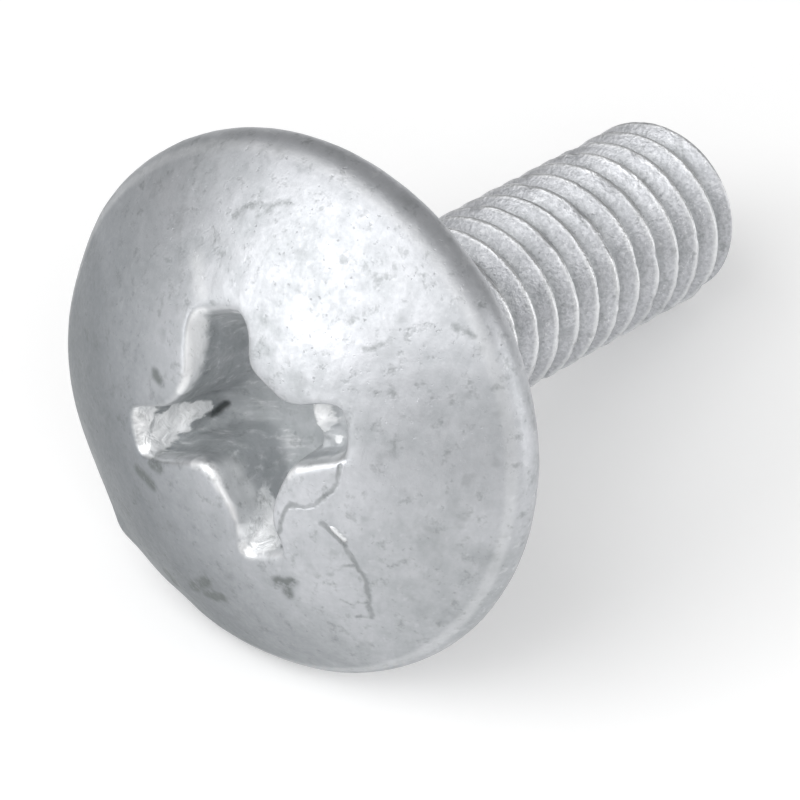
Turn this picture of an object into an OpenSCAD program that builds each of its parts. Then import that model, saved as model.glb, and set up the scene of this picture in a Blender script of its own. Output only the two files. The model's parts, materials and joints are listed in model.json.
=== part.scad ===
// Truss head machine screw with a cross recess, forged in one piece and zinc coated.
// Units are millimetres and +Z is up. The screw lies as it comes to rest on a flat
// surface, on the edge of its head and the edge of its tip. The origin is on that
// surface, under the middle of the screw, and the tip points along +X.

/* [Head] */
// Diameter of the head across its rim
head_d = 11; // [9:0.1:13.4]
// Height of the crown above the flat underside
head_h = 3; // [2.5:0.05:3.6]
// Height above the underside of the crease where the dome meets the rim
rim_h = 1.05; // [0.85:0.05:1.3]
// Radius of the rounded lower edge of the rim
rim_r = 0.58; // [0.45:0.01:0.7]
// Slope of the rim, in degrees from the axis
rim_slope = 22; // [17:1:28]

/* [Cross recess] */
// Distance across two opposite wings, from tip to tip
cross_span = 5; // [4.1:0.1:6]
// Width of a wing at the crown
wing_w = 1.1; // [0.9:0.05:1.35]
// Radius of the rounded corner between two wings at the crown
corner_r = 1.2; // [0.9:0.05:1.45]
// Depth of the outer end of each wing's floor below the crown
wing_depth = 1.75; // [1.45:0.05:2.1]
// Slope of the wing ends, in degrees from the axis
wing_end_slope = 26.5; // [22:0.5:31.5]
// Slope of the wing sides, in degrees from the axis
wing_side_slope = 4; // [2:0.5:5]
// Slope of the floor down to the centre, in degrees from level
floor_slope = 28; // [22:1:34]
// Turn of the wings about the axis, in degrees, as the screw came to rest
cross_turn = 24.3; // [0:0.1:90]

/* [Neck and shank] */
// Length from the underside of the head to the end of the tip
shank_length = 12; // [10:0.1:15]
// Diameter over the crests of the thread
thread_d = 3.85; // [3.2:0.05:4.6]
// Length of the plain neck between the head and the thread
neck_length = 1.9; // [1.5:0.1:2.4]
// Diameter of the neck at the head
neck_d = 3.94; // [3.8:0.02:4.8]
// Diameter of the neck where the thread starts
neck_end_d = 3.66; // [3:0.02:3.74]
// Radius of the fillet under the head
neck_fillet = 0.5; // [0.3:0.05:0.65]
// Length of the cone that runs from the neck out to the full thread
run_out = 0.3; // [0.2:0.05:0.4]
// Diameter of the flat end of the tip
tip_d = 2.8; // [2.3:0.05:3]
// Length of the chamfer at the tip
tip_chamfer = 0.45; // [0.35:0.05:0.6]

/* [Hidden] */
$fn = 96;

// How far the cutting tool of the recess reaches above the crown
clear = 1;
// How far the neck and its fillet run up into the head, so that they are one solid
joined = 0.2;
// How far the rounded corners of the cross reach past the sides of the wings, so
// that each corner meets a side along a clear edge
corner_bite = 0.04;

head_r = head_d / 2;
thread_r = thread_d / 2;

// The rounded lower edge is an arc about this point, at rim_r above the underside
edge_x = head_r - rim_r;
// The sloped rim leaves the arc where the arc has the same slope
rim_x = edge_x + rim_r * cos(rim_slope);
rim_z = rim_r + rim_r * sin(rim_slope);
// Radius of the crease, where the sloped rim reaches rim_h
crease_r = rim_x - (rim_h - rim_z) * tan(rim_slope);

// The dome is the sphere through the crown and the crease
dome_rise = head_h - rim_h;
dome_r = (crease_r ^ 2 + dome_rise ^ 2) / (2 * dome_rise);

// Height of the dome's surface above the underside, at a distance from the axis
function dome_z(x) = head_h - dome_r + sqrt(dome_r ^ 2 - x ^ 2);

// The wings open at mouth_z, run down to floor_z and reach inwards to floor_r
mouth_z = dome_z(cross_span / 2);
floor_z = head_h - wing_depth;
floor_r = cross_span / 2 - (mouth_z - floor_z) * tan(wing_end_slope);
centre_z = floor_z - floor_r * tan(floor_slope);

// The tilt at which the edge of the head and the edge of the tip both touch the surface
edge_gap = shank_length - tip_chamfer + rim_r;
edge_drop = edge_x - thread_r;
lie = atan2(edge_drop, edge_gap) + asin(rim_r / norm([edge_gap, edge_drop]));

// Height of the centre of the underside above the surface, as the screw lies
lift = edge_x * cos(lie) + rim_r - rim_r * sin(lie);
// Reach of the lying screw along X, to each side of the centre of the underside
head_reach = max(dome_r + (head_h - dome_r) * cos(lie),
                 rim_r * cos(lie) + edge_x * sin(lie) + rim_r);
tip_reach = max(shank_length * cos(lie) + tip_d / 2 * sin(lie),
                (shank_length - tip_chamfer) * cos(lie) + thread_r * sin(lie));

// Half of the head's section: a dome over a sloped rim with a rounded lower edge
module head_section() {
    intersection() {
        translate([0, head_h - dome_r]) circle(dome_r);
        union() {
            translate([edge_x, rim_r]) circle(rim_r);
            polygon([
                [0, 0],
                [edge_x, 0],
                [rim_x, rim_z],
                [crease_r, rim_h],
                [crease_r, head_h],
                [0, head_h]
            ]);
        }
    }
}

// Half of the section of the neck and shank, from the underside down to the tip.
// The shank is a plain cylinder over the crests of the thread.
module shank_section() {
    polygon([
        [0, joined],
        [neck_d / 2, joined],
        [neck_d / 2, 0],
        [neck_end_d / 2, -neck_length],
        [thread_r, -neck_length - run_out],
        [thread_r, -shank_length + tip_chamfer],
        [tip_d / 2, -shank_length],
        [0, -shank_length]
    ]);
}

// The fillet between the neck and the underside of the head
module fillet_section() {
    difference() {
        translate([neck_d / 2 - joined, -neck_fillet]) square([neck_fillet + joined, neck_fillet + joined]);
        translate([neck_d / 2 + neck_fillet, -neck_fillet]) circle(neck_fillet);
    }
}

// The forged and turned blank, upright on its axis
module blank() {
    rotate_extrude() head_section();
    rotate_extrude() shank_section();
    rotate_extrude() fillet_section();
}

// Half the width of a wing at a height, less the draft of its sides
function wing_half(z) = wing_w / 2 - (head_h - z) * tan(wing_side_slope);

// A pair of opposite wings, as one long block with drafted sides
module wing_pair() {
    top = head_h + clear;
    rotate([90, 0, 90])
        linear_extrude(cross_span + 2 * clear, center = true)
            polygon([
                [-wing_half(0), 0],
                [wing_half(0), 0],
                [wing_half(top), top],
                [-wing_half(top), top]
            ]);
}

// The middle of the cross: a block whose four corners are rounded away by cones
// with the draft of the wings
module cross_middle() {
    reach = wing_w / 2 + corner_r;
    top = head_h + clear;
    function cone_r(z) = reach - wing_half(z) + corner_bite;
    difference() {
        translate([-reach, -reach, 0]) cube([2 * reach, 2 * reach, top]);
        for (turn = [0:90:270])
            rotate(turn)
                translate([reach, reach, 0])
                    cylinder(h = top, r1 = cone_r(0), r2 = cone_r(top));
    }
}

// The round form that the cross is cut with: sloped wing ends over a conical floor
module cross_limit() {
    top = head_h + clear;
    rotate_extrude()
        polygon([
            [0, centre_z],
            [floor_r, floor_z],
            [floor_r + (top - floor_z) * tan(wing_end_slope), top],
            [0, top]
        ]);
}

module cross_recess() {
    intersection() {
        cross_limit();
        union() {
            wing_pair();
            rotate(90) wing_pair();
            cross_middle();
        }
    }
}

// Turns the upright screw down until head and tip touch the surface
module lay_down() {
    translate([(head_reach - tip_reach) / 2, 0, lift])
        rotate([0, lie - 90, 0])
            children();
}

module screw() {
    color([0.66, 0.68, 0.69])
        lay_down()
            difference() {
                blank();
                rotate(cross_turn) cross_recess();
            }
}

screw();
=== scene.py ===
# %% [markdown]
# # A truss head screw with a cross recess
# This notebook builds the looks of one machine screw: a wide low dome over a thin sloped rim,
# a cross recess in its crown, a plain neck, and a rolled thread down to a chamfered tip. It was
# forged and rolled from steel, and then dipped in zinc, so every edge is a little soft.
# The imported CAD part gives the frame: its box, its axis and its mounts say where all is.

import json
import math

import bpy
import numpy as np
from mathutils import Matrix, Vector


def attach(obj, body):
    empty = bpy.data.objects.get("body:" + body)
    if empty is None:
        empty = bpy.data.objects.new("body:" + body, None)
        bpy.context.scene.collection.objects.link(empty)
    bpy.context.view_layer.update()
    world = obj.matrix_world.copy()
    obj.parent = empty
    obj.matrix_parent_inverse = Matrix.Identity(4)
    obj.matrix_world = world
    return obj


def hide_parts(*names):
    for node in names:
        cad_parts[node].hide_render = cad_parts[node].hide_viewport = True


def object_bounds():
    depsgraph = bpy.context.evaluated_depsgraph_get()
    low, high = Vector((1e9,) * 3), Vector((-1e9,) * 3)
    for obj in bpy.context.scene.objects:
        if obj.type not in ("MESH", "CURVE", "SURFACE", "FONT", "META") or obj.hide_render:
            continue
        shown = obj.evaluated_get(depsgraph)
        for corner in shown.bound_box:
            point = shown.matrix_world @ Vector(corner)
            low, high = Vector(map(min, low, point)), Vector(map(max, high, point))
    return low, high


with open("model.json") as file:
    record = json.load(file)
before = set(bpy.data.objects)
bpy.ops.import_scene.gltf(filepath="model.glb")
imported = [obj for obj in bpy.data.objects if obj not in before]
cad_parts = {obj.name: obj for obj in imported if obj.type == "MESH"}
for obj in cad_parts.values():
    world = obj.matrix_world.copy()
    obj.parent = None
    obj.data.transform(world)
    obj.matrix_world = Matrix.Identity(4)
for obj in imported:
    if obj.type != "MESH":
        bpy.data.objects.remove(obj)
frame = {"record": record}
cad_low, cad_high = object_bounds()
print("CAD box in mm:", [round(v * 1000, 2) for v in (*cad_low, *cad_high)])

# %% [markdown]
# ## Where the screw lies
# The screw rests on the edge of its head and the edge of its tip, so its axis is tilted. It is
# far easier to model it upright, in millimetres, with the crown up and the flat underside of the
# head at height zero, and to lay the finished mesh down with one matrix. The record's mounts
# hold all that the matrix needs: the crown and its direction, and a point on the underside.

# %% Axis, head height and the matrix that lays the screw down
mounts = {m["name"]: m for m in frame["record"]["mounts"]}
crown = Vector(mounts["drive"]["pos_m"])
axis = Vector(mounts["drive"]["axis"]).normalized()
face_point = Vector(mounts["bearing_face"]["pos_m"])

HEAD_H = (crown - face_point).dot(axis) * 1000
under_centre = crown - axis * HEAD_H / 1000
tilt = math.atan2(axis.z, -axis.x)
lay_down = (
    Matrix.Translation(under_centre)
    @ Matrix.Rotation(tilt - math.pi / 2, 4, "Y")
    @ Matrix.Scale(0.001, 4)
)
print(f"head {HEAD_H:.2f} mm high, axis tilted {math.degrees(tilt):.2f} degrees")

# %% Head and thread sizes, in mm
HEAD_R = (cad_high.y - cad_low.y) / 2 * 1000
thread_mid = Vector(mounts["shank"]["pos_m"])
THREAD_R = mounts["shank"]["dims"]["r_mm"]
half_thread = mounts["shank"]["dims"]["length_mm"] / 2
to_middle = (under_centre - thread_mid).dot(axis) * 1000
THREAD_TOP = to_middle - half_thread
THREAD_END = to_middle + half_thread
print(f"head radius {HEAD_R:.2f}, thread {THREAD_TOP:.2f} to {THREAD_END:.2f} below the head")

# %% [markdown]
# ## The turned outline of the head
# The dome is a piece of one sphere, through the crown and through the crease where it meets the
# rim. The rim slopes out to a small rounded edge. A formula for the sphere keeps the dome true
# at every ring of the mesh.

# %% Dome and rim
RIM_H = 1.05
RIM_SLOPE = math.radians(22)
EDGE_R = 0.58

edge_x = HEAD_R - EDGE_R
rim_x = edge_x + EDGE_R * math.cos(RIM_SLOPE)
rim_z = EDGE_R * (1 + math.sin(RIM_SLOPE))
crease_r = rim_x - (RIM_H - rim_z) * math.tan(RIM_SLOPE)
dome_rise = HEAD_H - RIM_H
dome_r = (crease_r**2 + dome_rise**2) / (2 * dome_rise)


def dome_z(r):
    """Height of the dome at a distance from the axis."""
    return HEAD_H - dome_r + np.sqrt(np.maximum(dome_r**2 - r**2, 0))


print(f"the dome's sphere has a radius of {dome_r:.2f} mm, the crease is at {crease_r:.2f} mm")

# %% [markdown]
# ## The cross recess
# A punch pressed this recess: four wings with nearly upright sides, sloped ends and a conical
# floor, and a rounded corner between each two wings. Seen from the crown, every ray from the
# axis crosses the outline once. So the recess can be meshed with the rest of the head on one
# grid: rings around the axis that take the shape of the cross at the recess, and widen into
# circles at the rim. No boolean is needed, and the mesh stays closed and even.

# %% Section of the recess: distance to its wall along a ray, at a height
SPAN_R = 2.5
WING_HALF = 0.55
CORNER_R = 1.2
END_SLOPE = math.tan(math.radians(26.5))
SIDE_SLOPE = math.tan(math.radians(4))
FLOOR_SLOPE = math.tan(math.radians(28))
CROSS_TURN = math.radians(24.3)
FLOOR_Z = HEAD_H - 1.75

LEAST_ANGLE = 0.002
SHARPNESS = 12.0

mouth_z = float(dome_z(SPAN_R))
floor_r = SPAN_R - (mouth_z - FLOOR_Z) * END_SLOPE


def wall_r(ray, z):
    """Distance from the axis to the wall of the recess. The two powers round off the corners."""
    ray = np.maximum(np.abs(ray), LEAST_ANGLE)
    half = WING_HALF - (HEAD_H - z) * SIDE_SLOPE
    reach = WING_HALF + CORNER_R
    along = reach * (np.cos(ray) + np.sin(ray))
    arc = along - np.sqrt(np.maximum(along**2 - 2 * reach**2 + (reach - half) ** 2, 0))
    side = np.where(ray < np.arctan2(half, reach), half / np.sin(ray), arc)
    end = SPAN_R - (mouth_z - z) * END_SLOPE
    return (side**-SHARPNESS + end**-SHARPNESS) ** (-1 / SHARPNESS)


# %% Rays through corners that are evenly spaced along the outline of the cross
AROUND = 320


def from_wing(angle):
    """The angle from the middle line of the nearest wing."""
    return (angle - CROSS_TURN + math.pi / 4) % (math.pi / 2) - math.pi / 4


fine = np.linspace(0, 2 * math.pi, 20001) + CROSS_TURN
edge = wall_r(from_wing(fine), mouth_z)
steps = np.hypot(np.diff(edge * np.cos(fine)), np.diff(edge * np.sin(fine)))
run = np.concatenate([[0], np.cumsum(steps)])
rays = np.interp(np.arange(AROUND) / AROUND * run[-1], run, fine)
even = CROSS_TURN + np.arange(AROUND) / AROUND * 2 * math.pi
print(f"outline of the cross {run[-1]:.1f} mm long, a corner every {run[-1] / AROUND:.3f} mm")

# %% Mouth and floor of every column of the recess, and how widely the zinc rounds off its point
from_wing_ray = from_wing(rays)
ROUNDING = 1.2


def floor_at(r):
    """Height of the cone of the floor, with its point rounded off."""
    return FLOOR_Z - (np.hypot(floor_r, ROUNDING) - np.hypot(r, ROUNDING)) * FLOOR_SLOPE


mouth = np.full(AROUND, mouth_z)
floor = np.full(AROUND, FLOOR_Z)
for _ in range(6):
    mouth = dome_z(wall_r(from_wing_ray, mouth))
    floor = floor_at(wall_r(from_wing_ray, floor))
centre_z = float(floor_at(0))
print(f"floor from {centre_z:.2f} mm at the axis to {floor.max():.2f} mm at the wing ends")

# %% [markdown]
# ## The head's grid of rings
# Each ring is one row of corners. The rows run from the middle of the recess, up its walls, over
# the dome to the crease, round the rim's edge and in under the head.

# %% Rows of the recess and the dome, which are closest together at the lip
FLOOR_ROWS = 20
WALL_ROWS = 16
DOME_ROWS = 38
CROWDING = 1.15


def row(r, angle, z):
    """Corners at these distances from the axis, angles and heights."""
    return np.stack([r * np.cos(angle), r * np.sin(angle), z + 0 * r], axis=1)


rows = []
floor_edge = wall_r(from_wing_ray, floor)
for share in np.linspace(0, 1, FLOOR_ROWS + 1)[1:]:
    rows.append(row(floor_edge * share, rays, floor_at(floor_edge * share)))
for share in np.linspace(0, 1, WALL_ROWS + 1)[1:]:
    z = floor + (mouth - floor) * share
    rows.append(row(wall_r(from_wing_ray, z), rays, z))
MOUTH_ROW = len(rows) - 1
lip = rows[-1][:, :2]
crease = row(np.full(AROUND, crease_r), even, 0)[:, :2]
for share in np.linspace(0, 1, DOME_ROWS + 1)[1:] ** CROWDING:
    flat = lip * (1 - share) + crease * share
    z = dome_z(np.hypot(flat[:, 0], flat[:, 1]))
    rows.append(np.column_stack([flat, z]))
print(len(rows), "rows from the floor of the recess to the crease")

# %% Rows of the rim, its rounded edge and the outer part of the underside
HEAD_END_R = 4.45
for share in (0.2, 0.4, 0.6, 0.8, 1):
    r = crease_r + (rim_x - crease_r) * share
    rows.append(row(np.full(AROUND, r), even, RIM_H + (rim_z - RIM_H) * share))
for turn in np.linspace(RIM_SLOPE, -math.pi / 2, 11)[1:]:
    r = edge_x + EDGE_R * math.cos(turn)
    rows.append(row(np.full(AROUND, r), even, EDGE_R + EDGE_R * math.sin(turn)))
for r in np.linspace(edge_x, HEAD_END_R, 5)[1:]:
    rows.append(row(np.full(AROUND, r), even, 0))
head = np.array(rows)
print("head grid:", head.shape[0], "rows of", head.shape[1])

# %% [markdown]
# ## Zinc that softens, pools and chips
# The dip leaves a skin about 0.05 to 0.1 mm thick. It rounds the lip of the recess, fills the
# corners of its floor and freezes there in lumps. Averaging each corner with its neighbours is
# a plain way to model that. The lumps are small hills pushed out along the surface.

# %% Soften the lip, the corners of the recess and the crease
def soften(grid, first, last, rounds):
    """Averages the corners of some rows with their neighbours, and less so at both ends."""
    strength = np.interp(np.arange(len(grid)), [first - 3, first, last, last + 3], [0, 1, 1, 0])
    for _ in range(rounds):
        before = np.concatenate([grid[:1], grid[:-1]])
        after = np.concatenate([grid[1:], grid[-1:]])
        aside = (np.roll(grid, 1, axis=1) + np.roll(grid, -1, axis=1)) / 2
        target = grid * 0.4 + (before + after) * 0.175 + aside * 0.25
        grid += (target - grid) * strength[:, None, None]


crease_row = FLOOR_ROWS + WALL_ROWS + DOME_ROWS - 1
soften(head, 3, FLOOR_ROWS + 6, 50)
soften(head, FLOOR_ROWS, MOUTH_ROW + 4, 14)
soften(head, crease_row - 3, crease_row + 2, 20)
print("softened the floor, the lip at row", MOUTH_ROW, "and the crease at row", crease_row)

# %% Directions that point out of the head's surface
def outward(grid):
    """The direction out of the surface at each corner of a closed grid of rows."""
    down = np.gradient(grid, axis=0)
    around = np.roll(grid, -1, axis=1) - np.roll(grid, 1, axis=1)
    direction = np.cross(down, around)
    return direction / np.linalg.norm(direction, axis=2, keepdims=True)


# %% Zinc that froze in the ends of three wings: turn, edge, width of edge, height, unevenness
FILLS = [
    (-math.pi / 2, 1.28, 0.24, 2.02, 0.10),
    (math.pi / 2, 1.75, 0.90, 1.75, 0.12),
    (math.pi, 1.80, 0.60, 1.80, 0.12),
]
BUMPS = 30
chance = np.random.default_rng(7)
inside = slice(0, MOUTH_ROW - 3)
for turn, inner, soft_edge, height, uneven in FILLS:
    wing = CROSS_TURN + turn
    along = head[inside, :, 0] * math.cos(wing) + head[inside, :, 1] * math.sin(wing)
    across = head[inside, :, 1] * math.cos(wing) - head[inside, :, 0] * math.sin(wing)
    step = np.clip((along - inner) / soft_edge + 0.5, 0, 1)
    level = height + 0 * along
    for _ in range(BUMPS):
        x = chance.uniform(inner, 2.4)
        y = chance.uniform(-0.5, 0.5)
        width = chance.uniform(0.07, 0.2)
        bump = np.exp(-(((along - x) ** 2 + (across - y) ** 2) / width**2))
        level += chance.uniform(-1, 1) * uneven * bump
    z = head[inside, :, 2]
    raised = np.maximum(z, z + (level - z) * step**2 * (3 - 2 * step))
    in_wing = (along > 0.9) & (np.abs(across) < 0.75)
    head[inside, :, 2] = np.where(in_wing, raised, z)
print(len(FILLS), "wings partly filled")

# %% The struck recess is a little off. Each nudge: place, reach, shift, and depth where it ends
NUDGES = [
    (2.00, 0.45, 0.60, 0.17, -0.20, 9.0),
    (1.25, 1.02, 0.40, -0.06, 0.14, 0.45),
    (1.75, 1.25, 0.40, -0.06, 0.14, 0.45),
    (1.19, -0.45, 0.65, 0.25, -0.06, 9.0),
    (1.00, -1.90, 0.75, 0.35, -0.06, 9.0),
    (-0.45, -1.19, 0.60, 0.48, -0.20, 9.0),
    (-2.00, -1.20, 0.55, 0.20, -0.15, 9.0),
    (-1.85, -0.25, 0.50, 0.32, -0.24, 9.0),
    (-1.19, 0.45, 0.60, 0.52, -0.20, 9.0),
]
top = slice(0, MOUTH_ROW + DOME_ROWS // 2)
flat = head[top, :, :2]
sunk = np.maximum(dome_z(np.linalg.norm(flat, axis=2)) - head[top, :, 2], 0)
total = np.zeros(flat.shape[:2])
shift = np.zeros(flat.shape)
for x, y, reach, over_x, over_y, depth in NUDGES:
    near = np.exp(-((flat[..., 0] - x) ** 2 + (flat[..., 1] - y) ** 2) / reach**2)
    near = near * np.clip(1 - sunk / depth, 0, 1)
    total += near
    shift += near[..., None] * np.array([over_x, over_y])
shift /= np.maximum(total, 1)[..., None]
slide = dome_z(np.linalg.norm(flat + shift, axis=2)) - dome_z(np.linalg.norm(flat, axis=2))
head[top, :, :2] += shift
head[top, :, 2] += slide
print("largest nudge", round(float(np.linalg.norm(shift, axis=2).max()), 2), "mm")

# %% Lumps of zinc in the recess: place across the head, height, width and how proud, in mm
LUMPS = [
    (1.00, -1.36, 2.07, 0.18, 0.12),
    (0.55, -1.85, 1.92, 0.10, 0.07),
    (0.80, -1.80, 2.00, 0.16, -0.14),
    (-0.80, 1.90, 2.00, 0.17, 0.10),
    (-0.55, 2.10, 1.95, 0.15, 0.10),
    (-0.25, 1.75, 1.90, 0.18, 0.08),
    (-1.95, -0.70, 1.90, 0.16, 0.10),
    (1.75, 1.20, 2.40, 0.12, 0.06),
]
LUMPS_START = 1.7
for turn, count in ((math.pi / 2, 26), (math.pi, 22)):
    wing = CROSS_TURN + turn
    for _ in range(count):
        r = chance.uniform(1.5, 2.35)
        side = chance.uniform(-0.42, 0.42)
        x = r * math.cos(wing) - side * math.sin(wing)
        y = r * math.sin(wing) + side * math.cos(wing)
        z = LUMPS_START + max(r - 2.0, 0) / END_SLOPE
        LUMPS.append((x, y, z, chance.uniform(0.08, 0.15), chance.uniform(0.02, 0.07)))


def raise_hills(grid, hills):
    """Pushes the surface out, or in where a hill's height is below zero, near some places."""
    normals = outward(grid)
    for x, y, z, width, proud in hills:
        gap = np.linalg.norm(grid - np.array([x, y, z]), axis=2)
        grid += normals * (proud * np.exp(-((gap / width) ** 2)))[:, :, None]


raise_hills(head, LUMPS)
soften(head, 3, MOUTH_ROW - 4, 3)
print(len(LUMPS), "lumps of zinc in the recess")

# %% Dents of the rim, one drip of zinc that stands proud, and a pit in the recess
DENTS = [
    (-3.30, 4.22, 1.05, 1.10, -0.06),
    (-4.34, 3.15, 1.05, 0.40, 0.09),
    (-4.95, 1.40, 1.15, 0.45, -0.04),
    (4.60, -2.70, 1.10, 0.80, -0.04),
    (0.60, 5.30, 0.60, 0.90, -0.05),
    (-0.60, 1.37, 1.14, 0.14, -0.12),
]
raise_hills(head, DENTS)
print(len(DENTS), "dents, the deepest", -min(d[4] for d in DENTS), "mm")

# %% [markdown]
# ## The shank as one long spiral
# A thread follows a helix. If the rows of the mesh follow the same helix, the crest of the
# thread always lies on one row, and stays sharp and even with few faces. So the blank under the
# head is meshed as a spiral strip: one turn of the strip is one pitch wide, and its last row is
# the first row of the next turn. The strip starts on the neck, runs down the shank, over the
# chamfer, and winds across the flat end to the axis.

# %% The blank's outline under the head, by distance along it
PITCH = 0.7
NECK_R = 1.97
FILLET_R = 0.5
TIP_R = 1.4
LENGTH = THREAD_END + 0.45

BLEND = 0.13
chamfer = math.hypot(LENGTH - THREAD_END, THREAD_R - TIP_R)
on_outline = [FILLET_R, 1.3, 1.85, THREAD_TOP, THREAD_END]
knots = [*on_outline, THREAD_END + chamfer, THREAD_END + chamfer + TIP_R]
knot_r = [NECK_R, 1.945, 1.85, THREAD_R, THREAD_R, TIP_R, 0]
knot_s = [*on_outline, LENGTH, LENGTH]


def blank(path):
    """Radius of the blank and depth below the head, at a distance along its rounded outline."""
    path = np.asarray(path, float)
    spread = np.linspace(-BLEND, BLEND, 9)
    r = np.mean([np.interp(path + d, knots, knot_r) for d in spread], axis=0)
    s = np.mean([np.interp(path + d, knots, knot_s) for d in spread], axis=0)
    return r, s


print(f"the outline is {knots[-1]:.2f} mm long, with a chamfer of {chamfer:.2f} mm")

# %% Rows of one pitch, closest together at the crest, and where the spiral starts and ends
SHANK = AROUND // 2
half_rows = [0, 0.02, 0.045, 0.08, 0.13, 0.2, 0.28, 0.36, 0.43]
OFFSETS = np.array(half_rows + [0.5] + [1 - f for f in half_rows[:0:-1]])
PER_PITCH = len(OFFSETS)
START = 0.97
GAP = 0.06
LEFT_OPEN = 0.05
COLUMNS = int((knots[-1] - START - PITCH - LEFT_OPEN) / PITCH * SHANK)
print(PER_PITCH, "rows per pitch and", COLUMNS, "columns,", round(COLUMNS / SHANK, 1), "turns")

# %% Corners of the spiral strip, and of the wedge between it and a level ring
def on_blank(column, path):
    """Corners on the blank at these columns. A right-hand thread sinks as it turns clockwise."""
    r, s = blank(path)
    angle = CROSS_TURN - column / SHANK * 2 * math.pi
    return np.stack([r * np.cos(angle), r * np.sin(angle), -s], axis=-1)


column = np.arange(COLUMNS + 1)[:, None] + np.zeros(PER_PITCH)
strip = on_blank(column, START + PITCH * (column / SHANK + OFFSETS))
last = np.arange(COLUMNS - SHANK + 1, COLUMNS + 1)
strip_end = on_blank(last, START + PITCH * (last / SHANK + 1))

first = np.arange(1, SHANK)[:, None]
level = np.arange(1, PER_PITCH + 1)
plain = level / (PER_PITCH + 1)
final = (GAP + PITCH * OFFSETS) / (GAP + PITCH)
share = plain + (final - plain) * first / SHANK
wedge = on_blank(first + 0 * share, START - GAP + (GAP + PITCH * first / SHANK) * share)
print("strip", strip.shape, "wedge", wedge.shape)

# %% Rows between the head's last ring and the spiral: underside, fillet and neck
UNDERSIDE_R = 4.36
under = []
even_shank = CROSS_TURN - np.arange(SHANK) / SHANK * 2 * math.pi
for r in np.linspace(UNDERSIDE_R, NECK_R + FILLET_R, 16):
    under.append(row(np.full(SHANK, r), even_shank, 0))
for turn in np.linspace(0, math.pi / 2, 8)[1:]:
    r = NECK_R + FILLET_R * (1 - math.sin(turn))
    under.append(row(np.full(SHANK, r), even_shank, -FILLET_R * (1 - math.cos(turn))))
for path in np.linspace(FILLET_R, START - GAP, 6)[1:]:
    under.append(on_blank(np.arange(SHANK), np.full(SHANK, path)))
print(len(under), "rows under the head")

# %% [markdown]
# ## One closed mesh
# All rows go into one list of corners, and the faces join each row to the next. The head has
# twice as many corners around as the shank, so one row of triangles under the head halves them.
# Both ends of the spiral close with fans of triangles.

# %% Number the corners
corners = [np.array([[0, 0, centre_z]]), head.reshape(-1, 3), np.array(under).reshape(-1, 3)]
corners += [wedge.reshape(-1, 3), strip.reshape(-1, 3), strip_end, np.array([[0, 0, -LENGTH]])]
starts = np.concatenate([[0], np.cumsum([len(c) for c in corners])])
head_id = starts[1] + np.arange(head.shape[0] * AROUND).reshape(-1, AROUND)
under_id = starts[2] + np.arange(len(under) * SHANK).reshape(-1, SHANK)
wedge_id = starts[3] + np.arange(wedge.shape[0] * PER_PITCH).reshape(-1, PER_PITCH)
strip_id = starts[4] + np.arange(strip.shape[0] * PER_PITCH).reshape(-1, PER_PITCH)
end_id = starts[5] + np.arange(SHANK)
tip_id = starts[6]
print(starts[-1], "corners")

# %% Faces of the head and of the rows under it
faces = [(0, int(a), int(b)) for a, b in zip(head_id[0], np.roll(head_id[0], -1))]
for upper, lower in zip(head_id[:-1], head_id[1:]):
    faces += zip(upper, lower, np.roll(lower, -1), np.roll(upper, -1))

outer = head_id[-1]
inner = under_id[0][(-np.arange(SHANK)) % SHANK]
for i in range(SHANK):
    a, b, c = outer[2 * i], outer[2 * i + 1], outer[(2 * i + 2) % AROUND]
    d, e = inner[i], inner[(i + 1) % SHANK]
    faces += [(a, d, b), (b, d, e), (b, e, c)]

for upper, lower in zip(under_id[:-1], under_id[1:]):
    faces += zip(np.roll(upper, -1), np.roll(lower, -1), lower, upper)
print(len(faces), "faces so far")

# %% Faces of the wedge and of the spiral strip
ring = under_id[-1]
columns = [[ring[0]] + [strip_id[0, 0]] * (PER_PITCH + 1)]
for k in range(1, SHANK):
    columns.append([ring[k], *wedge_id[k - 1], strip_id[k, 0]])
columns.append([ring[0], *strip_id[0], strip_id[SHANK, 0]])
turn_later = [*strip_id[SHANK:, 0], *end_id]
for k in range(COLUMNS):
    left = [*strip_id[k], turn_later[k]]
    right = [*strip_id[k + 1], turn_later[k + 1]]
    faces += zip(right[:-1], right[1:], left[1:], left[:-1])
for left, right in zip(columns[:-1], columns[1:]):
    for a, b, c, d in zip(right[:-1], right[1:], left[1:], left[:-1]):
        faces.append((a, b, c, d) if c != d else (a, b, c))
print(len(faces), "faces with the spiral")

# %% Fans that close the spiral at the axis
rim = [strip_id[COLUMNS, 0], *end_id]
for a, b in zip(rim[1:-1], rim[2:]):
    faces.append((b, tip_id, a))
seam = [*strip_id[COLUMNS], end_id[-1], tip_id]
for a, b in zip(seam[:-1], seam[1:]):
    faces.append((end_id[0], b, a))
print("closed at the axis with", len(rim) + len(seam) - 3, "triangles")

# %% Make the mesh
blank_mesh = bpy.data.meshes.new("blank")
all_corners = np.concatenate(corners)
blank_mesh.from_pydata(all_corners.tolist(), [], [tuple(int(i) for i in f) for f in faces])
blank_mesh.validate(verbose=True)
blank_mesh.polygons.foreach_set("use_smooth", [True] * len(blank_mesh.polygons))
blank_object = bpy.data.objects.new("blank", blank_mesh)
bpy.context.scene.collection.objects.link(blank_object)
triangles = sum(len(p.vertices) - 2 for p in blank_mesh.polygons)
print(len(blank_mesh.vertices), "corners,", triangles, "triangles")

# %% [markdown]
# ## Cut the thread with Geometry Nodes
# A die rolls a thread by pressing a groove that follows a helix. The rule is short: the depth of
# the groove at a point depends only on how far the point is from the crest, along the axis and
# around it. Geometry Nodes hold such a rule well: the tree reads each corner's place, works out
# its share of a pitch, and moves it towards the axis. Rolling leaves a fine seam on the crests,
# and the zinc leaves the surface a little uneven, so the tree adds both.

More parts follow.
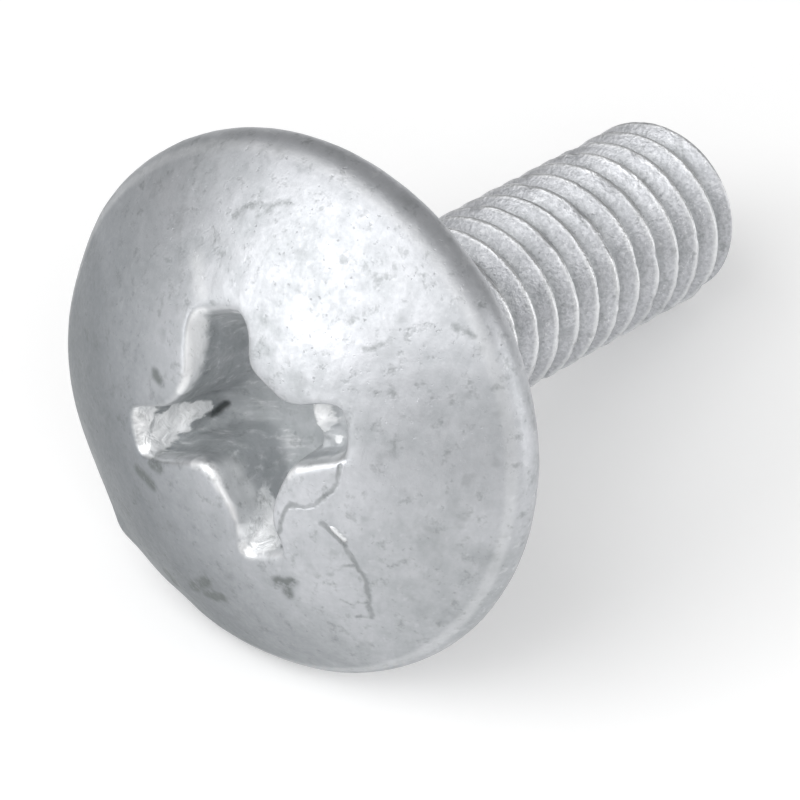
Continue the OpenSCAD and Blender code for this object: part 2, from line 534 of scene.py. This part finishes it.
# %% One helper that adds a node
def add(tree, kind, fills=None, **settings):
    """Adds a node. Its settings are properties, and fills gives its inputs values or links."""
    made = tree.nodes.new(kind)
    for name, value in settings.items():
        setattr(made, name, value)
    for key, value in (fills or {}).items():
        if isinstance(value, bpy.types.NodeSocket):
            tree.links.new(value, made.inputs[key])
        else:
            made.inputs[key].default_value = value
    return made


# %% The tree and its named inputs
roll = bpy.data.node_groups.new("roll_thread", "GeometryNodeTree")
roll.interface.new_socket("Geometry", in_out="INPUT", socket_type="NodeSocketGeometry")
roll.interface.new_socket("Geometry", in_out="OUTPUT", socket_type="NodeSocketGeometry")
ROLL_VALUES = {
    "Pitch": PITCH,
    "Lead-in": START,
    "Turn": CROSS_TURN,
    "Groove depth": 0.34,
    "Thread top": THREAD_TOP,
    "Seam depth": 0.022,
    "Crest wear": 0.075,
    "Coat": 0.03,
    "Seed": 11.0,
}
for name in ROLL_VALUES:
    roll.interface.new_socket(name, in_out="INPUT", socket_type="NodeSocketFloat")
roll.interface.new_socket("Finish", in_out="INPUT", socket_type="NodeSocketMaterial")
given = add(roll, "NodeGroupInput").outputs
print("named inputs:", [s.name for s in given if s.name])

# %% Helpers for sums, products, vectors and ranges
def tree_of(values):
    """The node tree of the first of some values that is a socket."""
    return next(v for v in values if isinstance(v, bpy.types.NodeSocket)).id_data


def calc(operation, *values):
    """A Math node's result."""
    fills = dict(enumerate(values))
    return add(tree_of(values), "ShaderNodeMath", fills, operation=operation).outputs[0]


def vector(operation, *values):
    """A Vector Math node, as a vector."""
    fills = dict(enumerate(values))
    return add(tree_of(values), "ShaderNodeVectorMath", fills, operation=operation).outputs[0]


def measure(operation, *values):
    """A Vector Math node, as a number."""
    return vector(operation, *values).node.outputs["Value"]


def scaled(direction, factor):
    """A vector times a number."""
    fills = {0: direction, "Scale": factor}
    owner = tree_of((direction, factor))
    return add(owner, "ShaderNodeVectorMath", fills, operation="SCALE").outputs[0]


def ramp(value, low, high, start=0.0, end=1.0, kind="LINEAR"):
    """Takes a value from the range low to high to the range start to end."""
    fills = {0: value, 1: low, 2: high, 3: start, 4: end}
    return add(tree_of([value]), "ShaderNodeMapRange", fills, interpolation_type=kind).outputs[0]


def fall(value, full, none):
    """One up to full, and down smoothly to zero at none."""
    return ramp(value, full, none, 1.0, 0.0, "SMOOTHSTEP")


def times(first, *others):
    """The product of some values."""
    for other in others:
        first = calc("MULTIPLY", first, other)
    return first


# %% Share of a pitch between each corner and the crest
SWAY = 0.05
place = add(roll, "GeometryNodeInputPosition").outputs[0]


def seeded(scale, detail=2.0):
    """Noise about zero for the thread, with features of about 1 / scale millimetres."""
    fills = {"Vector": place, "W": given["Seed"], "Scale": scale, "Detail": detail}
    made = add(roll, "ShaderNodeTexNoise", fills, noise_dimensions="4D")
    return calc("SUBTRACT", made.outputs[0], 0.5)


xyz = add(roll, "ShaderNodeSeparateXYZ", {0: place}).outputs
around = calc("DIVIDE", calc("ARCTAN2", xyz[1], xyz[0]), 2 * math.pi)
turned = calc("DIVIDE", given["Turn"], 2 * math.pi)
sunk = calc("DIVIDE", calc("ADD", xyz[2], given["Lead-in"]), given["Pitch"])
phase = calc("ADD", calc("SUBTRACT", sunk, around), turned)
phase = calc("MULTIPLY_ADD", seeded(0.9), SWAY, phase)
from_crest = times(calc("PINGPONG", phase, 0.5), 2)

# %% Depth of the groove: mostly straight flanks, with a little of a rounded form
STRAIGHT = 0.8
straight = ramp(from_crest, 0.05, 0.9)
smooth = ramp(from_crest, 0.04, 1.0, kind="SMOOTHSTEP")
groove = calc("ADD", times(straight, STRAIGHT), times(smooth, 1 - STRAIGHT))
groove = times(groove, given["Groove depth"])

# %% The seam along parts of the crest, and the worn crests
seam_here = ramp(seeded(0.55), -0.08, 0.1)
seam_cut = times(fall(from_crest, 0.0, 0.07), seam_here, given["Seam depth"])
knocked = ramp(seeded(1.7, 3.0), 0.02, 0.3)
worn = times(fall(from_crest, 0.05, 0.4), knocked, given["Crest wear"])
groove = calc("ADD", calc("ADD", groove, seam_cut), worn)

# %% Move the corners in: nothing on the head, a fade at the neck, the lesser radius at the tip
RUN_IN = 0.45
SOFT_JOIN = 0.04
flat_place = add(roll, "ShaderNodeCombineXYZ", {0: xyz[0], 1: xyz[1]}).outputs[0]
radius = measure("LENGTH", flat_place)
depth = times(xyz[2], -1)
fade_from = calc("SUBTRACT", given["Thread top"], RUN_IN)
fade_to = calc("ADD", given["Thread top"], RUN_IN)
fade = ramp(depth, fade_from, fade_to, kind="SMOOTHSTEP")
rolled = calc("SUBTRACT", THREAD_R, times(groove, fade))
rolled = calc("SMOOTH_MIN", radius, rolled, SOFT_JOIN)
on_shank = ramp(depth, 1.6, 1.9)
cut = add(roll, "ShaderNodeMix", {0: on_shank, 2: radius, 3: rolled}, data_type="FLOAT").outputs[0]
ratio = calc("DIVIDE", cut, calc("MAXIMUM", radius, 0.001))
squeezed = {0: times(xyz[0], ratio), 1: times(xyz[1], ratio), 2: xyz[2]}
moved = add(roll, "ShaderNodeCombineXYZ", squeezed).outputs[0]
threaded = {"Geometry": given["Geometry"], "Position": moved}
threaded = add(roll, "GeometryNodeSetPosition", threaded).outputs[0]

# %% Uneven coat, and the end of the tree
FINER_SHARE = 0.55
uneven = calc("MULTIPLY_ADD", seeded(3.5), FINER_SHARE, seeded(0.75))
facing = add(roll, "GeometryNodeInputNormal").outputs[0]
pushed = scaled(facing, times(uneven, given["Coat"]))
coated = add(roll, "GeometryNodeSetPosition", {"Geometry": threaded, "Offset": pushed}).outputs[0]
real = add(roll, "GeometryNodeRealizeInstances", {0: coated}).outputs[0]
finish = {"Geometry": real, "Material": given["Finish"]}
finish = add(roll, "GeometryNodeSetMaterial", finish).outputs[0]
add(roll, "NodeGroupOutput", {0: finish})
print(len(roll.nodes), "nodes in the thread's tree")

# %% [markdown]
# ## Hot-dip zinc
# The finish is zinc on steel. Fresh from the bath it is a cool silver grey with a satin sheen,
# and it soon dulls in soft clouds. A fine grain covers it, with small dark pits, brighter flakes
# where the crystals lie flat, and hairline cracks where the skin is thick beside the recess.
# The material reads the Object coordinates, and a Mapping node turns them upright and into
# millimetres, so each pattern's scale is a real size. The mesh itself stores how near each corner
# is to the places where the zinc froze bright, where the lip is worn and has a painted highlight,
# and where the wall is painted light, and the material reads that as attributes.

# %% Colours
def linear(code):
    """An sRGB hex colour as the linear colour that Blender's sockets hold."""
    parts = [int(code[i : i + 2], 16) / 255 for i in (1, 3, 5)]
    return [p / 12.92 if p <= 0.04045 else ((p + 0.055) / 1.055) ** 2.4 for p in parts] + [1.0]


ZINC_BRIGHT = linear("#d7d8dc")
ZINC_MEAN = linear("#c3c5c9")
ZINC_DULL = linear("#b1b4b7")
# Fresh zinc, and also the colour of painted highlights and painted light on the lip, wall, crests,
# crease and sand
ZINC_FRESH_AND_HIGHLIGHT = linear("#f2f3f4")
# Dull zinc on the sand, and the painted shade on one side of the head
ZINC_SHADE = linear("#7f8387")
# Pits, cracks and nicks, and also the painted shade on the rim and in the roots
ZINC_PIT_AND_SHADE = linear("#6b706f")
# Painted shade in the recess
ZINC_RECESS_SHADE = linear("#7b8482")
# Painted shade in the pit in the recess
HOLE_SHADE = linear("#2f3434")
print("mean zinc, linear:", [round(v, 3) for v in ZINC_MEAN[:3]])

# %% Upright millimetres from Object coordinates
zinc = bpy.data.materials.new("hot_dip_zinc")
zinc.use_nodes = True
tree = zinc.node_tree
tree.nodes.clear()
object_at = add(tree, "ShaderNodeTexCoord").outputs["Object"]
upright = add(
    tree,
    "ShaderNodeMapping",
    {
        "Vector": object_at,
        "Location": under_centre,
        "Rotation": (0, tilt - math.pi / 2, 0),
        "Scale": (0.001, 0.001, 0.001),
    },
    vector_type="TEXTURE",
).outputs[0]
at = add(tree, "ShaderNodeSeparateXYZ", {0: upright}).outputs
off_axis = add(tree, "ShaderNodeCombineXYZ", {0: at[0], 1: at[1]}).outputs[0]
from_axis = measure("LENGTH", off_axis)

# %% Clouds of 1.5 mm, mottling of 0.4 mm and grain of 0.1 mm
def noise(scale, detail, rough=0.5, warp=0.0, where=upright):
    """Noise with features of about 1 / scale millimetres."""
    fills = {"Vector": where, "Scale": scale, "Detail": detail}
    fills |= {"Roughness": rough, "Distortion": warp}
    return add(tree, "ShaderNodeTexNoise", fills).outputs[0]


clouds = ramp(noise(0.65, 3.0, 0.6, 0.3), 0.36, 0.66)
mottle = ramp(noise(2.4, 3.0, 0.6), 0.34, 0.68)
grain = ramp(noise(9.0, 2.5, 0.65), 0.3, 0.7)

# %% Pits, flakes and dashes
def drawn_out(turn, stretch):
    """Places turned and stretched, which draw noise out into lines."""
    fills = {"Vector": upright, "Rotation": turn, "Scale": stretch}
    return add(tree, "ShaderNodeMapping", fills).outputs[0]


pits = ramp(noise(8.5, 2.0, 0.6), 0.66, 0.76)
specks = ramp(noise(3.0, 3.0, 0.7), 0.57, 0.72)
flakes = ramp(noise(7.0, 1.0, 0.5), 0.66, 0.78)
patches = ramp(noise(0.9, 2.0), 0.4, 0.6)
blotches = ramp(noise(2.1, 2.0, 0.55), 0.6, 0.74)
dashes = noise(1.7, 2.0, 0.6, where=drawn_out((0.3, 0.2, 0.9), (0.9, 5.0, 0.9)))
scrapes = noise(1.4, 2.0, 0.6, where=drawn_out((0.1, -0.4, -0.5), (0.7, 6.0, 0.7)))
dashes = calc("MAXIMUM", ramp(dashes, 0.59, 0.74), ramp(scrapes, 0.6, 0.75))
dashes = times(dashes, patches)

# %% Sand on the shank: grains of 0.07 mm, and painted glints on some of them
sand = ramp(noise(13.0, 1.5, 0.6), 0.3, 0.7)
painted_glints = times(ramp(noise(17.0, 2.0, 0.7), 0.58, 0.72), ramp(noise(2.0, 2.0, 0.6), 0.4, 0.62))

# %% Cracks, scratches, nicks and other marks on the head, as strokes across it in mm
CRACKS = [
    ((0.57, -2.42), (0.18, -2.45), (-0.13, -2.29), (-0.41, -2.11), (-0.54, -1.90), (-0.60, -1.65)),
    ((-0.60, -1.65), (-0.83, -1.52), (-1.16, -1.47), (-1.53, -1.45), (-1.84, -1.38)),
    ((-0.77, -2.30), (-1.05, -2.75), (-1.33, -2.91), (-1.55, -3.06), (-1.81, -3.23), (-2.71, -3.28)),
]
BRANCHES = [
    ((-1.51, -2.95), (-1.62, -2.75), (-1.74, -2.66), (-1.93, -2.50)),
    ((-2.33, -3.23), (-2.40, -3.05), (-2.52, -2.95), (-2.50, -2.72)),
    ((-2.71, -3.28), (-2.74, -3.12), (-2.82, -2.99)),
]
SCRATCHES = [
    ((3.95, 1.45), (4.25, 1.20), (4.36, 0.75)),
    ((4.20, 0.95), (4.50, 0.70), (4.62, 0.42)),
    ((2.85, -2.10), (3.03, -2.38), (3.15, -2.52)),
    ((3.69, -3.42), (3.60, -3.80)),
]
NICKS = [
    ((-4.15, 0.77), (-3.75, 0.40), (-3.62, 0.28)),
    ((-4.07, 0.38), (-3.87, -0.08)),
    ((-2.60, -1.49), (-2.45, -1.77)),
    ((-2.57, -1.63), (-2.82, -1.67)),
    ((-1.42, 1.69), (-1.43, 1.47)),
    ((-1.85, 2.07), (-1.94, 1.62)),
    ((-4.37, 1.60), (-4.55, 1.39)),
    ((0.48, 1.96), (0.42, 1.77)),
]
FLECK = [((-0.80, -2.50), (-0.97, -2.76))]
SMEAR = [((2.91, 1.84), (2.70, 1.62), (2.46, 1.44))]
HOLE = [((-0.66, 1.37), (-0.58, 1.34), (-0.48, 1.29))]

# %% Distance to the strokes, which meander a little
MEANDER = 0.14
wander = {"Vector": upright, "Scale": 4.5, "Detail": 2.0}
wander = add(tree, "ShaderNodeTexNoise", wander).outputs["Color"]
wander = scaled(vector("SUBTRACT", wander, (0.5, 0.5, 0.5)), MEANDER)
across_head = vector("MULTIPLY", vector("ADD", off_axis, wander), (1, 1, 0))


def strokes(lines):
    """Distance in mm to the nearest of some strokes."""
    nearest = None
    pairs = [pair for line in lines for pair in zip(line[:-1], line[1:])]
    for (x0, y0), (x1, y1) in pairs:
        run = Vector((x1 - x0, y1 - y0, 0))
        away = vector("SUBTRACT", across_head, (x0, y0, 0))
        share = measure("DOT_PRODUCT", away, run / run.length_squared)
        share = add(tree, "ShaderNodeClamp", {0: share}).outputs[0]
        gap = measure("DISTANCE", away, scaled(run, share))
        nearest = gap if nearest is None else calc("MINIMUM", nearest, gap)
    return nearest


on_head = ramp(at[2], 0.4, 0.7)


def marks(lines, full, none):
    """One at the strokes on the head, and zero away from them."""
    return times(fall(strokes(lines), full, none), on_head)


to_crack = strokes(CRACKS)
crack_deep = times(fall(to_crack, 0.012, 0.08), on_head)
crack_edge = times(fall(to_crack, 0.05, 0.17), on_head)
branch = times(marks(BRANCHES, 0.01, 0.06), ramp(noise(5.0, 2.0), 0.35, 0.6))
crack = calc("MAXIMUM", crack_deep, branch)
crack = times(crack, ramp(noise(2.6, 2.0), 0.3, 0.55, 0.4, 1.0))
nick = times(marks(NICKS, 0.04, 0.19), ramp(noise(4.0, 3.0, 0.65), 0.3, 0.5, 0.15, 1.0))
fleck = marks(FLECK, 0.02, 0.07)
smear = marks(SMEAR, 0.0, 0.3)
scratch = times(marks(SCRATCHES, 0.01, 0.11), ramp(noise(5.0, 3.0, 0.65), 0.35, 0.6))
print(len(CRACKS), "crack lines and", len(NICKS), "nicks")

# %% Depth below the dome, and the recess
in_head = ramp(at[2], 0.1, 0.3)
dome_here = calc("SQRT", calc("SUBTRACT", dome_r**2, times(from_axis, from_axis)))
sunken = calc("SUBTRACT", calc("ADD", dome_here, HEAD_H - dome_r), at[2])
in_recess = times(ramp(sunken, 0.1, 0.35), ramp(from_axis, 2.75, 2.95, 1.0, 0.0), in_head)

# %% Fresh zinc in the recess, its worn lip with a painted highlight, and its wall painted light: place and reach in mm
FRESH = [
    ((-0.70, 2.26, 2.38), 0.34),
    ((-1.13, 2.10, 2.39), 0.42),
    ((-1.30, 1.94, 2.44), 0.38),
    ((-0.95, 2.02, 2.17), 0.42),
    ((-1.03, 1.89, 2.08), 0.38),
    ((-0.81, 1.90, 1.92), 0.38),
    ((-0.91, 1.76, 1.82), 0.30),
    ((-0.69, 1.74, 1.70), 0.32),
    ((-0.60, 1.62, 1.57), 0.28),
    ((-0.54, 1.52, 1.38), 0.22),
    ((-1.19, 1.98, 2.28), 0.40),
    ((-1.44, -0.53, 1.93), 0.32),
    ((-1.66, -0.66, 1.95), 0.38),
    ((-1.79, -0.62, 2.17), 0.38),
    ((-1.91, -0.84, 2.17), 0.40),
    ((-2.00, -0.63, 2.36), 0.36),
    ((-2.02, -0.93, 2.35), 0.38),
    ((-2.20, -0.74, 2.50), 0.34),
    ((-1.93, -1.12, 2.34), 0.28),
    ((1.04, -1.19, 2.02), 0.24),
    ((1.08, -1.44, 2.09), 0.34),
    ((0.98, -1.59, 2.10), 0.30),
    ((0.77, -1.51, 2.05), 0.20),
    ((0.63, -1.87, 1.95), 0.14),
]
LIP = [
    ((0.52, 1.21, 2.78), 0.24),
    ((0.83, 1.19, 2.74), 0.32),
    ((1.14, 1.25, 2.67), 0.36),
    ((1.44, 1.31, 2.57), 0.38),
    ((1.74, 1.41, 2.52), 0.38),
    ((2.12, 1.44, 2.55), 0.34),
    ((2.36, 0.64, 2.36), 0.14),
    ((0.05, -1.52, 2.72), 0.26),
    ((0.25, -1.70, 2.70), 0.30),
    ((0.45, -1.96, 2.60), 0.30),
    ((0.63, -2.24, 2.50), 0.26),
    ((-0.78, 0.57, 2.85), 0.24),
    ((-0.80, 0.21, 2.88), 0.28),
    ((-0.95, -0.03, 2.79), 0.30),
    ((-1.19, -0.27, 2.72), 0.30),
    ((-1.41, -0.43, 2.68), 0.30),
    ((-1.72, -0.57, 2.52), 0.34),
]
WALL = [
    ((-0.95, 0.00, 2.50), 0.50),
    ((-1.21, -0.30, 2.40), 0.50),
    ((-1.50, -0.50, 2.35), 0.46),
    ((-1.80, -0.58, 2.35), 0.40),
]


SOFT_SHARE = 0.7


def spots(name, places):
    """Stores one at the corners near any of some places, and zero beyond their reach."""
    most = np.zeros(len(all_corners))
    for spot, reach in places:
        gap = np.linalg.norm(all_corners - np.array(spot), axis=1)
        near = np.clip((reach - gap) / (reach * SOFT_SHARE), 0, 1)
        most = np.maximum(most, near**2 * (3 - 2 * near))
    stored = blank_mesh.attributes.new(name, "FLOAT", "POINT")
    stored.data.foreach_set("value", most.astype(np.float32))
    return add(tree, "ShaderNodeAttribute", attribute_name=name).outputs["Fac"]


# %% Fresh zinc, which runs in streaks down one wing, and the other masks of the recess
fresh_spots = spots("fresh_zinc", FRESH)
ALONG_STREAKS = 0.7
ACROSS_STREAKS = 3.0
DOWN_STREAKS = 2.0
wing_line = Vector((-math.sin(CROSS_TURN), math.cos(CROSS_TURN), 0))
side_line = Vector((math.cos(CROSS_TURN), math.sin(CROSS_TURN), 0))
down_wing = {
    0: measure("DOT_PRODUCT", upright, wing_line * ALONG_STREAKS),
    1: measure("DOT_PRODUCT", upright, side_line * ACROSS_STREAKS),
    2: times(at[2], DOWN_STREAKS),
}
down_wing = add(tree, "ShaderNodeCombineXYZ", down_wing).outputs[0]
streaks = noise(1.7, 3.0, 0.6, 0.5, down_wing)
fresh = calc("ADD", fresh_spots, ramp(streaks, 0.35, 0.65, -0.5, 0.15))
fresh = times(ramp(fresh, 0.0, 0.55, kind="SMOOTHSTEP"), ramp(sunken, 0.02, 0.1))
crusty = ramp(noise(3.4, 3.0, 0.55, 0.8), 0.3, 0.72)
# The lip is worn bright in places, and is also painted with a highlight
lip_wear_and_highlight = times(ramp(spots("lip_wear_and_highlight", LIP), 0.05, 0.6), ramp(sunken, 0.015, 0.06))
# Painted light on the recess wall that faces the lamps
painted_lit_wall = times(spots("painted_lit_wall", WALL), ramp(sunken, 0.03, 0.12))
# Painted shade in the pit
hole = times(fall(strokes(HOLE), 0.02, 0.12), ramp(sunken, 0.9, 1.1))
near_cross = ramp(from_axis, 2.8, 3.0, 1.0, 0.0)
# A painted highlight on the lip all round the recess
lip_highlight = times(ramp(sunken, 0.02, 0.08), ramp(sunken, 0.25, 0.5, 1.0, 0.0), near_cross, in_head)
lumpy = ramp(noise(3.6, 2.0, 0.6), 0.35, 0.7)
print(len(FRESH), "places of fresh zinc,", len(LIP), "on the lip,", len(WALL), "on the wall")

# %% Painted shade on one side and on the rim of the head, dirt and painted shade in the roots, worn crests with a painted highlight, and a painted highlight on the crease
# Painted shade: one side of the head is darker, in the direction the dark surroundings lie
painted_shade_side = measure("DOT_PRODUCT", upright, (-0.6, 0.8, 0))
painted_shade_side = times(ramp(painted_shade_side, -0.4, 3.2), in_head)
# Painted shade on one side of the rim
painted_shade_rim = times(ramp(from_axis, 2.4, 4.4), ramp(at[0], 1.8, -0.6), in_head)
below = ramp(at[2], -2.2, -1.9, 1.0, 0.0)
off_end = ramp(at[2], -LENGTH + 0.15, -LENGTH + 0.3)
# The roots are painted darker: dirt, and painted shade in the grooves
in_root = times(ramp(from_axis, 1.62, 1.78, 1.0, 0.0), below, off_end)
# Crests worn smooth, and painted bright as a highlight
on_crest = times(ramp(from_axis, 1.85, 1.92), below)
in_section = add(tree, "ShaderNodeCombineXYZ", {0: from_axis, 1: at[2]}).outputs[0]
# The crease painted bright as a highlight, and the crests with it
to_crease = measure("DISTANCE", in_section, (crease_r, RIM_H, 0))
edge_highlight = calc("MAXIMUM", on_crest, fall(to_crease, 0.06, 0.2))

# %% Colour: each mask, how strongly it shows, and its colour, from the lowest layer up
LAYERS = [
    (mottle, 0.45, ZINC_BRIGHT),
    (ramp(grain, 0.0, 1.0, 1.0, 0.0), 0.25, ZINC_DULL),
    (flakes, 0.25, ZINC_BRIGHT),
    (below, 0.7, ZINC_BRIGHT),
    (times(ramp(sand, 0.1, 0.9, 1.0, 0.0), below), 0.33, ZINC_SHADE),
    # Painted glints on the sand
    (times(painted_glints, below), 0.8, ZINC_FRESH_AND_HIGHLIGHT),
    (painted_shade_side, 0.9, ZINC_SHADE),
    (painted_shade_rim, 0.22, ZINC_PIT_AND_SHADE),
    # The recess painted darker: painted shade
    (in_recess, 0.24, ZINC_RECESS_SHADE),
    (times(in_recess, ramp(streaks, 0.48, 0.78)), 0.32, ZINC_FRESH_AND_HIGHLIGHT),
    (lip_highlight, 0.35, ZINC_FRESH_AND_HIGHLIGHT),
    (edge_highlight, 0.2, ZINC_FRESH_AND_HIGHLIGHT),
    (on_crest, 0.7, ZINC_FRESH_AND_HIGHLIGHT),
    (fresh, ramp(crusty, 0.0, 1.0, 0.82, 1.0), ZINC_FRESH_AND_HIGHLIGHT),
    (lip_wear_and_highlight, 0.85, ZINC_FRESH_AND_HIGHLIGHT),
    (painted_lit_wall, 0.75, ZINC_FRESH_AND_HIGHLIGHT),
    (hole, 0.9, HOLE_SHADE),
    (in_root, 0.35, ZINC_PIT_AND_SHADE),
    (specks, 0.38, ZINC_PIT_AND_SHADE),
    (pits, 0.15, ZINC_PIT_AND_SHADE),
    (dashes, 0.1, ZINC_PIT_AND_SHADE),
    (blotches, 0.2, ZINC_PIT_AND_SHADE),
    (crack, 0.5, ZINC_PIT_AND_SHADE),
    (nick, 0.8, ZINC_PIT_AND_SHADE),
    (fleck, 0.7, ZINC_FRESH_AND_HIGHLIGHT),
    (smear, 0.3, ZINC_FRESH_AND_HIGHLIGHT),
    (scratch, 0.5, ZINC_PIT_AND_SHADE),
]


def blend(share, under, over):
    """Mixes two colours."""
    fills = {0: share, 6: under, 7: over}
    return add(tree, "ShaderNodeMix", fills, data_type="RGBA").outputs[2]


colour = blend(clouds, ZINC_DULL, ZINC_MEAN)
for mask, strength, zinc_colour in LAYERS:
    colour = blend(times(mask, strength), colour, zinc_colour)
print(len(LAYERS), "layers of colour")

# %% Roughness
def heap(base, shares):
    """A base, plus each of some masks times its own height."""
    for mask, height in shares:
        base = calc("MULTIPLY_ADD", mask, height, base)
    return base


ROUGHER = [(flakes, -0.05), (in_recess, 0.18), (fresh, -0.06), (pits, 0.15), (on_crest, -0.16)]
rough = calc("ADD", ramp(clouds, 0.0, 1.0, 0.5, 0.42), ramp(grain, 0.0, 1.0, 0.05, -0.05))
rough = {"Value": heap(rough, ROUGHER), "Min": 0.2, "Max": 0.8}
rough = add(tree, "ShaderNodeClamp", rough).outputs[0]

# %% Relief, in mm
RELIEF = [
    (mottle, 0.003),
    (pits, -0.004),
    (specks, -0.003),
    (crack_edge, 0.006),
    (crack_deep, -0.016),
    (nick, -0.012),
    (fleck, 0.03),
    (times(lumpy, in_recess), 0.008),
    (times(crusty, fresh_spots), 0.022),
    (times(sand, below), 0.006),
]
relief = {"Height": heap(times(grain, 0.0009), RELIEF), "Strength": 1.0, "Distance": 0.001}
bumped = add(tree, "ShaderNodeBump", relief).outputs[0]

# %% The shader. Deep in the recess the skin is matt, and only partly shines as a metal
MATT_SHARE = 0.85
matt_here = times(ramp(sunken, 0.3, 0.8), in_recess, MATT_SHARE)
skin = {
    "Base Color": colour,
    "Metallic": calc("SUBTRACT", 1.0, matt_here),
    "Roughness": rough,
    "Normal": bumped,
}
skin = add(tree, "ShaderNodeBsdfPrincipled", skin)
add(tree, "ShaderNodeOutputMaterial", {"Surface": skin.outputs[0]})
print(len(tree.nodes), "nodes in the zinc")

# %% Roll the thread
rolling = blank_object.modifiers.new("roll_thread", "NODES")
rolling.node_group = roll
sockets = {i.name: i.identifier for i in roll.interface.items_tree if i.in_out == "INPUT"}
for name, value in ROLL_VALUES.items():
    rolling[sockets[name]] = value
rolling[sockets["Finish"]] = zinc
ready = bpy.context.evaluated_depsgraph_get()
rolled_mesh = bpy.data.meshes.new_from_object(blank_object.evaluated_get(ready))
blank_object.modifiers.clear()
print(len(rolled_mesh.vertices), "corners after rolling")

# %% Lay the screw down as one finished piece
rolled_mesh.transform(lay_down)
rolled_mesh.name = "zinc_screw"
screw = bpy.data.objects.new("zinc_screw", rolled_mesh)
bpy.context.scene.collection.objects.link(screw)
bpy.data.objects.remove(blank_object)
heights = [v.co.z for v in rolled_mesh.vertices]
print(f"lowest corner {min(heights) * 1000:.3f} mm, highest {max(heights) * 1000:.3f} mm")

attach(screw, "root")
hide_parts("screw")

# %% [markdown]
# ## Floor, light and camera
# A pale sheet lies under the screw. Large soft lamps leave the broad highlight that a satin
# metal shows, and a bright room fills the rest. The sheet looks white to the camera and in
# reflections, and still takes the screw's shadow.

# %% Floor
floor_mesh = bpy.data.meshes.new("floor")
FLOOR_HALF = 0.6
square = [(x * FLOOR_HALF, y * FLOOR_HALF, 0) for x, y in ((-1, -1), (1, -1), (1, 1), (-1, 1))]
floor_mesh.from_pydata(square, [], [(0, 1, 2, 3)])
floor_object = bpy.data.objects.new("floor", floor_mesh)
bpy.context.scene.collection.objects.link(floor_object)
paper = bpy.data.materials.new("pale_paper")
paper.use_nodes = True
sheet = paper.node_tree
sheet.nodes.clear()
SHEET_GLOW = 0.2
matt = add(sheet, "ShaderNodeBsdfDiffuse", {"Color": linear("#f2f2f2")})
glow = add(sheet, "ShaderNodeEmission", {"Color": (1, 1, 1, 1), "Strength": SHEET_GLOW})
path = add(sheet, "ShaderNodeLightPath").outputs
seen = calc("MAXIMUM", path["Is Camera Ray"], path["Is Glossy Ray"])
seen = calc("MAXIMUM", seen, path["Is Transmission Ray"])
dark = add(sheet, "ShaderNodeEmission", {"Color": (0, 0, 0, 1), "Strength": 0.0})
lift = add(sheet, "ShaderNodeMixShader", {0: seen, 1: dark.outputs[0], 2: glow.outputs[0]})
both = add(sheet, "ShaderNodeAddShader", {0: matt.outputs[0], 1: lift.outputs[0]})
add(sheet, "ShaderNodeOutputMaterial", {"Surface": both.outputs[0]})
floor_mesh.materials.append(paper)

# %% Room
world = bpy.data.worlds.new("room")
bpy.context.scene.world = world
world.use_nodes = True
air = world.node_tree
air.nodes.clear()
ROOM_LIGHT = 0.41
soft = add(air, "ShaderNodeBackground", {"Color": (1, 1, 1, 1), "Strength": ROOM_LIGHT})
add(air, "ShaderNodeOutputWorld", {"Surface": soft.outputs[0]})

# %% Camera
look = Vector((0.5666, 0.4412, -0.6978)).normalized()
middle = Vector((-0.0022, -0.00035, 0.0035))
EYE_DISTANCE = 0.1425
camera = bpy.data.cameras.new("camera")
camera.lens = 328
camera.sensor_width = 36
camera.clip_start = 0.01
camera.clip_end = 10
eye = bpy.data.objects.new("camera", camera)
eye.rotation_mode = "QUATERNION"
eye.rotation_quaternion = look.to_track_quat("-Z", "Y")
eye.location = middle - look * EYE_DISTANCE
bpy.context.scene.collection.objects.link(eye)
bpy.context.scene.camera = eye
right = look.cross(Vector((0, 0, 1))).normalized()
upward = right.cross(look)

# %% Lamps, placed by the camera's own directions: right, up, towards the camera, and power
LAMP_DISTANCE = 0.17
LAMP_SIZE = 0.12
LAMPS = {
    "front": (0.0, 0.0, 1.0, 0.050),
    "key": (-0.395, 0.395, 0.829, 0.066),
    "left": (-0.766, 0.0, 0.643, 0.115),
    "upper left": (-0.646, 0.646, 0.407, 0.034),
    "right": (0.914, 0.0, 0.407, 0.057),
    "low right": (0.56, -0.1, 0.82, 0.016),
}
for name, (across, above, ahead, power) in LAMPS.items():
    towards = (right * across + upward * above - look * ahead).normalized()
    data = bpy.data.lights.new(name, "AREA")
    data.size = LAMP_SIZE
    data.energy = power
    thing = bpy.data.objects.new(name, data)
    thing.rotation_mode = "QUATERNION"
    thing.rotation_quaternion = (-towards).to_track_quat("-Z", "Y")
    thing.location = middle + towards * LAMP_DISTANCE
    bpy.context.scene.collection.objects.link(thing)
    print(name, "shines from", [round(v, 2) for v in towards])

# %% View settings
bpy.context.scene.view_settings.view_transform = "Standard"
